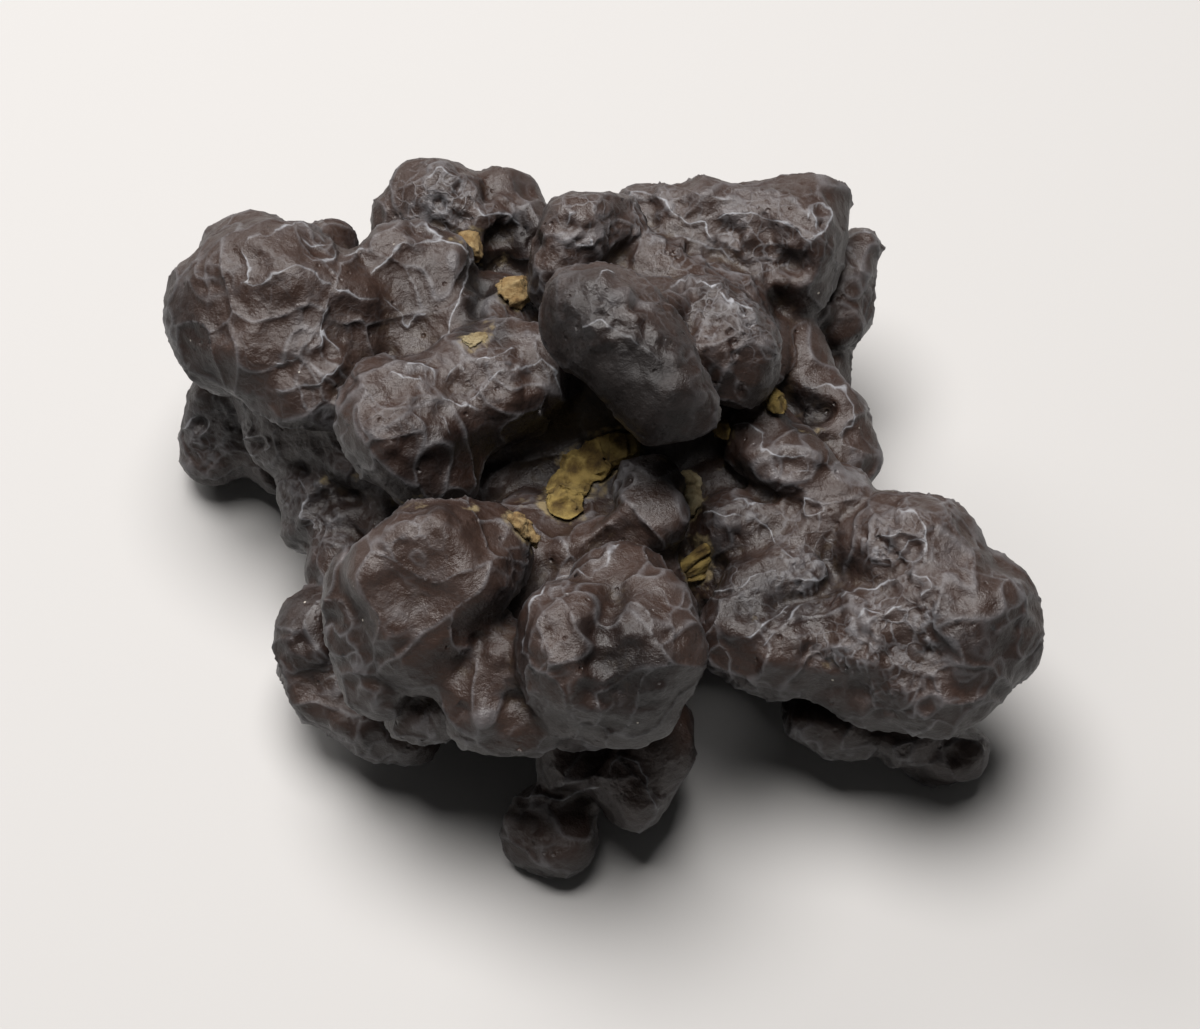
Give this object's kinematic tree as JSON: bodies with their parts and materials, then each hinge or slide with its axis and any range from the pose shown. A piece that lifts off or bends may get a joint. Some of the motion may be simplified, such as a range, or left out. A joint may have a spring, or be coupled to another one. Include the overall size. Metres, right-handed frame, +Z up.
{
  "type": "prophecy stone",
  "caption": "Knobbly concretion of rounded, ridged dark brown iron oxide lobes, standing on four small worn feet, with crumbs of pale chalk in its crevices.",
  "frame": {"origin": "on the ground under the middle of the stone's bounding box", "axes": "+X along the stone's longest side, +Z up from its four feet, -Y towards the side with the two front feet"},
  "size_m": [0.057, 0.0464, 0.0311],
  "materials": {
    "stone": "semi-gloss, very dark brown",
    "chalk": "matt cream yellow"
  },
  "bodies": {
    "root": {"stone": "stone", "chalk_seam_at_the_back": "chalk", "chalk_lump_at_the_back": "chalk", "chalk_lip": "chalk", "chalk_in_the_hollow": "chalk", "chalk_at_the_front": "chalk", "chalk_in_the_crater": "chalk", "chalk_in_the_upper_crack": "chalk", "chalk_in_the_middle_crack": "chalk", "chalk_in_the_lower_crack": "chalk"}
  },
  "joints": []
}
